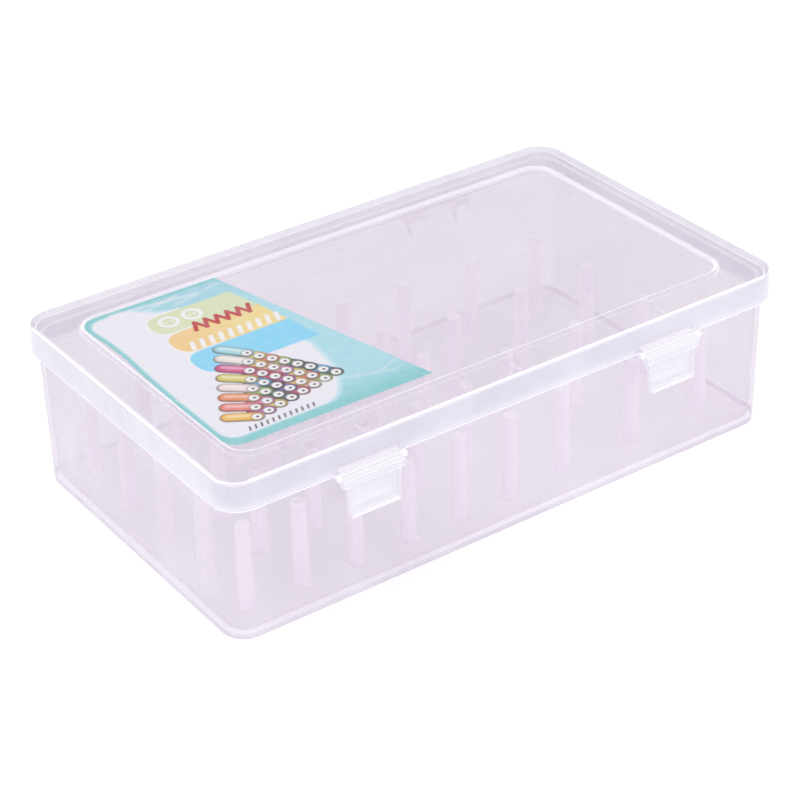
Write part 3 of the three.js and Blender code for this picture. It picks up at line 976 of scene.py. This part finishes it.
def paint_ground(art, inside):
    """A turquoise border round light blue, which turns to another blue at the back and turquoise in front."""
    art.tint(smooth_step(BORDER, BORDER_FADE, inside), LIGHT_BLUE)
    art.tint(smooth_step(BORDER, 2 * BORDER, inside) * smooth_step(*TOP_BLUE_FROM, art.y) * 0.8, TOP_BLUE)
    art.tint(smooth_step(*TURQUOISE_FROM, art.y) * 0.7, TURQUOISE)


def paint_field(art):
    """A white field at the left with a wavy back edge, a round right side and a pale glow round it."""
    from_left = left_edge(art.y) + FIELD_MARGIN - art.x
    front_corner = round_meet(from_left, FIELD_FRONT - art.y, FIELD_CORNER)
    back_corner = round_meet(from_left, art.y - FIELD_BACK, FIELD_CORNER)
    margins = np.maximum(front_corner, back_corner)
    white = from_outline(art.x, art.y, FIELD)
    art.paint(np.maximum(white - FIELD_GLOW, margins), GLOW, 2.2)
    art.paint(np.maximum(white, margins), PAPER, 0.5)


def paint_bands(art):
    """Three coloured bands with a round left end and a slanting right end, the middle one part yellow."""
    for outline, colour in BANDS:
        distance = from_outline(art.x, art.y, outline)
        art.paint(np.maximum(distance - BAND_RIM, art.x - RIM_END), WHITE, 0.5)
        art.paint(distance, colour)
    middle, _ = BANDS[1]
    inside = np.clip(0.5 - from_outline(art.x, art.y, middle) / BLUR, 0, 1)
    art.tint(inside * smooth_step(*YELLOW_FROM, art.x) * 0.8, YELLOW)


def paint_buttons(art):
    """Two white rings with a pair of thread holes each."""
    for x, y in BUTTON_PLACES:
        from_centre = np.hypot(art.x - x, art.y - y)
        art.paint(np.abs(from_centre - BUTTON_RADIUS) - BUTTON_WIDTH, WHITE)
        for side in (LEFT, RIGHT):
            art.paint(np.hypot(art.x - x - side * BUTTON_HOLE_PLACE, art.y - y) - BUTTON_HOLE, WHITE)


def paint_stitches(art):
    """A red zigzag seam and the rows of slanting stitches."""
    seam = [
        (mix(*SEAM_SPAN, k / SEAM_TURNS), SEAM_Y + (SEAM_RISE if k % 2 else -SEAM_RISE))
        for k in range(SEAM_TURNS + 1)
    ]
    for start, end in zip(seam, seam[1:]):
        art.stroke(start, end, STITCH, RED)
    for first, last, step, bottom, top, lean, radius, colour, blur in STITCH_ROWS:
        for x in np.arange(first, last, step):
            art.stroke((x, bottom), (x + lean, top), radius, colour, blur)


def paint_spool(art, end, body, colour):
    """A thread spool seen from its end: a shaded body behind a pale flange with a dark hole."""
    dark, light = (tuple(mix(c, goal, 0.6) for c in colour) for goal in (20, 255))
    length = math.hypot(*body)
    side = (body[1] / length, -body[0] / length)
    # How far to the lit side each coat lies, how much thinner it is, its colour and its blur.
    coats = ((0.0, 0.0, dark, 0.5), (0.3, 0.6, colour, 1.2), (0.8, 2.2, light, 1.4))
    for shift, thinner, shown, blur in coats:
        near = (end[0] + shift * side[0], end[1] + shift * side[1])
        far = (near[0] + body[0], near[1] + body[1])
        art.stroke(near, far, SPOOL_RADIUS - thinner, shown, blur)
    from_end = np.hypot(art.x - end[0], art.y - end[1])
    art.paint(from_end - CAP_RADIUS - 0.3, dark, 0.6)
    art.paint(from_end - CAP_RADIUS, WHITE, 0.5)
    art.paint(np.hypot(art.x - end[0] - 0.2, art.y - end[1] + 0.1) - SPOOL_HOLE, INK, 0.5)


def paint_spools(art):
    """A heap of spools in a triangle, each drawn over the one behind it."""
    for right in reversed(range(SPOOL_COLUMNS)):
        for down in range(SPOOL_COLUMNS - right):
            steps = zip(SPOOL_APEX, SPOOL_DOWN_LEFT, SPOOL_DOWN_RIGHT)
            end = [apex + down * left_step + right * right_step for apex, left_step, right_step in steps]
            share = down / (SPOOL_COLUMNS - 1)
            body = [mix(top, low, share) for top, low in zip(SPOOL_TOP_BODY, SPOOL_LOW_BODY)]
            if right == 0:
                paint_spool(art, end, body, EDGE_SPOOLS[down])
            else:
                colour = INNER_SPOOLS[(5 * down + 3 * right) % len(INNER_SPOOLS)]
                paint_spool(art, end, [0.5 * c for c in body], colour)


def crease_height(x, y):
    """How high the creases stand, in millimetres."""
    ridges = (
        height * np.exp(-((from_line(x, y, (ax, ay), (bx, by)) / width) ** 2))
        for ax, ay, bx, by, height, width in CREASES
    )
    return sum(ridges)


def label_faces(rows, columns):
    """The faces of the grid, its edge and its underside, whose points follow the grid's in the same order."""
    at = np.arange(rows * columns).reshape(rows, columns)
    quads = np.stack([at[:-1, :-1], at[:-1, 1:], at[1:, 1:], at[1:, :-1]], -1).reshape(-1, 4)
    rim = [*at[0, :-1], *at[:-1, -1], *at[-1, :0:-1], *at[:0:-1, 0]]
    under = rows * columns + np.arange(len(rim))
    faces = [tuple(quad) for quad in quads.tolist()]
    for k, point in enumerate(rim):
        after = (k + 1) % len(rim)
        faces.append((int(rim[after]), int(point), int(under[k]), int(under[after])))
    return [*faces, tuple(int(k) for k in under[::-1])], rim


def make_label():
    """A thin creased sheet, with the print on its points."""
    low, high = cad_box("label")
    x, y = label_grid()
    creases = crease_height(x, y)
    art = Print(x, y, TURQUOISE)
    paint_ground(art, into_label(x, y))
    paint_field(art)
    paint_bands(art)
    paint_spools(art)
    paint_buttons(art)
    paint_stitches(art)
    # The creases are painted whiter by their height: a painted highlight.
    art.tint(np.clip(creases * CREASE_SHINE, 0, MOST_SHINE), WHITE)

    faces, rim = label_faces(*x.shape)
    top = np.stack([x, y, high.z + creases], -1).reshape(-1, 3)
    bottom = np.concatenate([top[rim][:, :2], np.full((len(rim), 1), low.z)], 1)
    label = new_object("printed_label", np.concatenate([top, bottom]).tolist(), faces)
    colours = np.concatenate([art.colour.reshape(-1, 3), np.tile(linear(*WHITE), (len(rim), 1))])
    attribute = label.data.color_attributes.new(PRINT, "FLOAT_COLOR", "POINT")
    attribute.data.foreach_set("color", np.insert(colours, 3, 1.0, 1).astype(np.float32).ravel())
    smooth(label.data, LABEL_SHARP_ANGLE)
    place(label, label_film, "lid", "label_print", "label")


# ---- Stage, light and camera ----

CAMERA_PLACE = (-0.43016, -0.61593, 0.47872)
CAMERA_AIM = (-0.0140, -0.0155, 0.0325)
CAMERA_LENS = 106.35
CAMERA_ROLL = math.radians(-1.53)
FLOOR_HALF = 3000
FLOOR_GLOW = 0.2
# How strongly the surroundings light the scene, and how bright they look from the camera.
WORLD_STRENGTH, BACKDROP_STRENGTH = 0.73, 1.1
# Each softbox's name, its place, aim and size in metres, and its watts.
SOFTBOXES = (
    ("overhead softbox", (-0.3, 0.3, 1.6), (0, 0, 0), (1.4, 1.0), 5),
    ("side softbox", (-1.5, -0.6, 0.9), (0, 0, 0.03), (0.9, 0.9), 1.2),
    ("front softbox", (0.3, -1.6, 0.6), (0, 0, 0.03), (1.4, 0.8), 3),
)


def make_floor():
    """A plain pale floor, a little uneven in tone."""
    half = FLOOR_HALF
    corners = [(-half, -half, 0), (half, -half, 0), (half, half, 0), (-half, half, 0)]
    floor = new_object("floor", corners, [(0, 1, 2, 3)])
    nodes = Nodes("floor paint")
    where = nodes.add("ShaderNodeTexCoord").outputs["Object"]
    shown = nodes.blend(nodes.noise(where, 3.0), rgba((250, 250, 250)), rgba((254, 254, 254)))
    glow = {"Emission Color": (1, 1, 1, 1), "Emission Strength": FLOOR_GLOW}
    paint = nodes.add("ShaderNodeBsdfPrincipled", {"Base Color": shown, "Roughness": 0.9, **glow})
    floor.data.materials.append(nodes.finish(paint))


def make_world():
    """An even white studio, which lights the scene less strongly than it looks."""
    world = bpy.data.worlds.new("studio")
    world.use_nodes = True
    tree = world.node_tree
    background = tree.nodes["Background"]
    background.inputs["Color"].default_value = (1, 1, 1, 1)
    seen = tree.nodes.new("ShaderNodeLightPath")
    level = tree.nodes.new("ShaderNodeMapRange")
    level.inputs["To Min"].default_value = WORLD_STRENGTH
    level.inputs["To Max"].default_value = BACKDROP_STRENGTH
    tree.links.new(seen.outputs["Is Camera Ray"], level.inputs["Value"])
    tree.links.new(level.outputs["Result"], background.inputs["Strength"])
    bpy.context.scene.world = world


def aimed(name, data, place_m, aim_m, roll=0.0):
    """An object for a light or a camera that looks from one place at another."""
    made = bpy.data.objects.new(name, data)
    made.location = place_m
    made.rotation_mode = "QUATERNION"
    level = (Vector(aim_m) - Vector(place_m)).to_track_quat("-Z", "Y")
    made.rotation_quaternion = level @ Quaternion((0, 0, 1), roll)
    bpy.context.scene.collection.objects.link(made)
    return made


def softbox(name, place_m, aim_m, size_m, watts):
    light = bpy.data.lights.new(name, "AREA")
    light.shape = "RECTANGLE"
    light.size, light.size_y = size_m
    light.energy = watts
    aimed(name, light, place_m, aim_m)


def make_camera():
    camera = bpy.data.cameras.new("camera")
    camera.lens = CAMERA_LENS
    camera.sensor_width = 36
    camera.clip_start, camera.clip_end = 0.01, 50
    bpy.context.scene.camera = aimed("camera", camera, CAMERA_PLACE, CAMERA_AIM, CAMERA_ROLL)


def set_light_paths():
    """Plain display colours, and enough light bounces for rays through many clear walls."""
    scene = bpy.context.scene
    scene.view_settings.view_transform = "Standard"
    scene.cycles.transparent_max_bounces = 48
    scene.cycles.max_bounces = 10


# ---- Assembly ----

make_camera()
make_tray()
make_lid()
for latch_node, latch_pivot in LATCH_PIVOTS.items():
    make_latch(latch_node, latch_pivot)
for pin_node in ("left_hinge_pin", "right_hinge_pin"):
    make_hinge_pin(pin_node)
make_pegs()
make_label()
make_floor()
make_world()
for box in SOFTBOXES:
    softbox(*box)
set_light_paths()
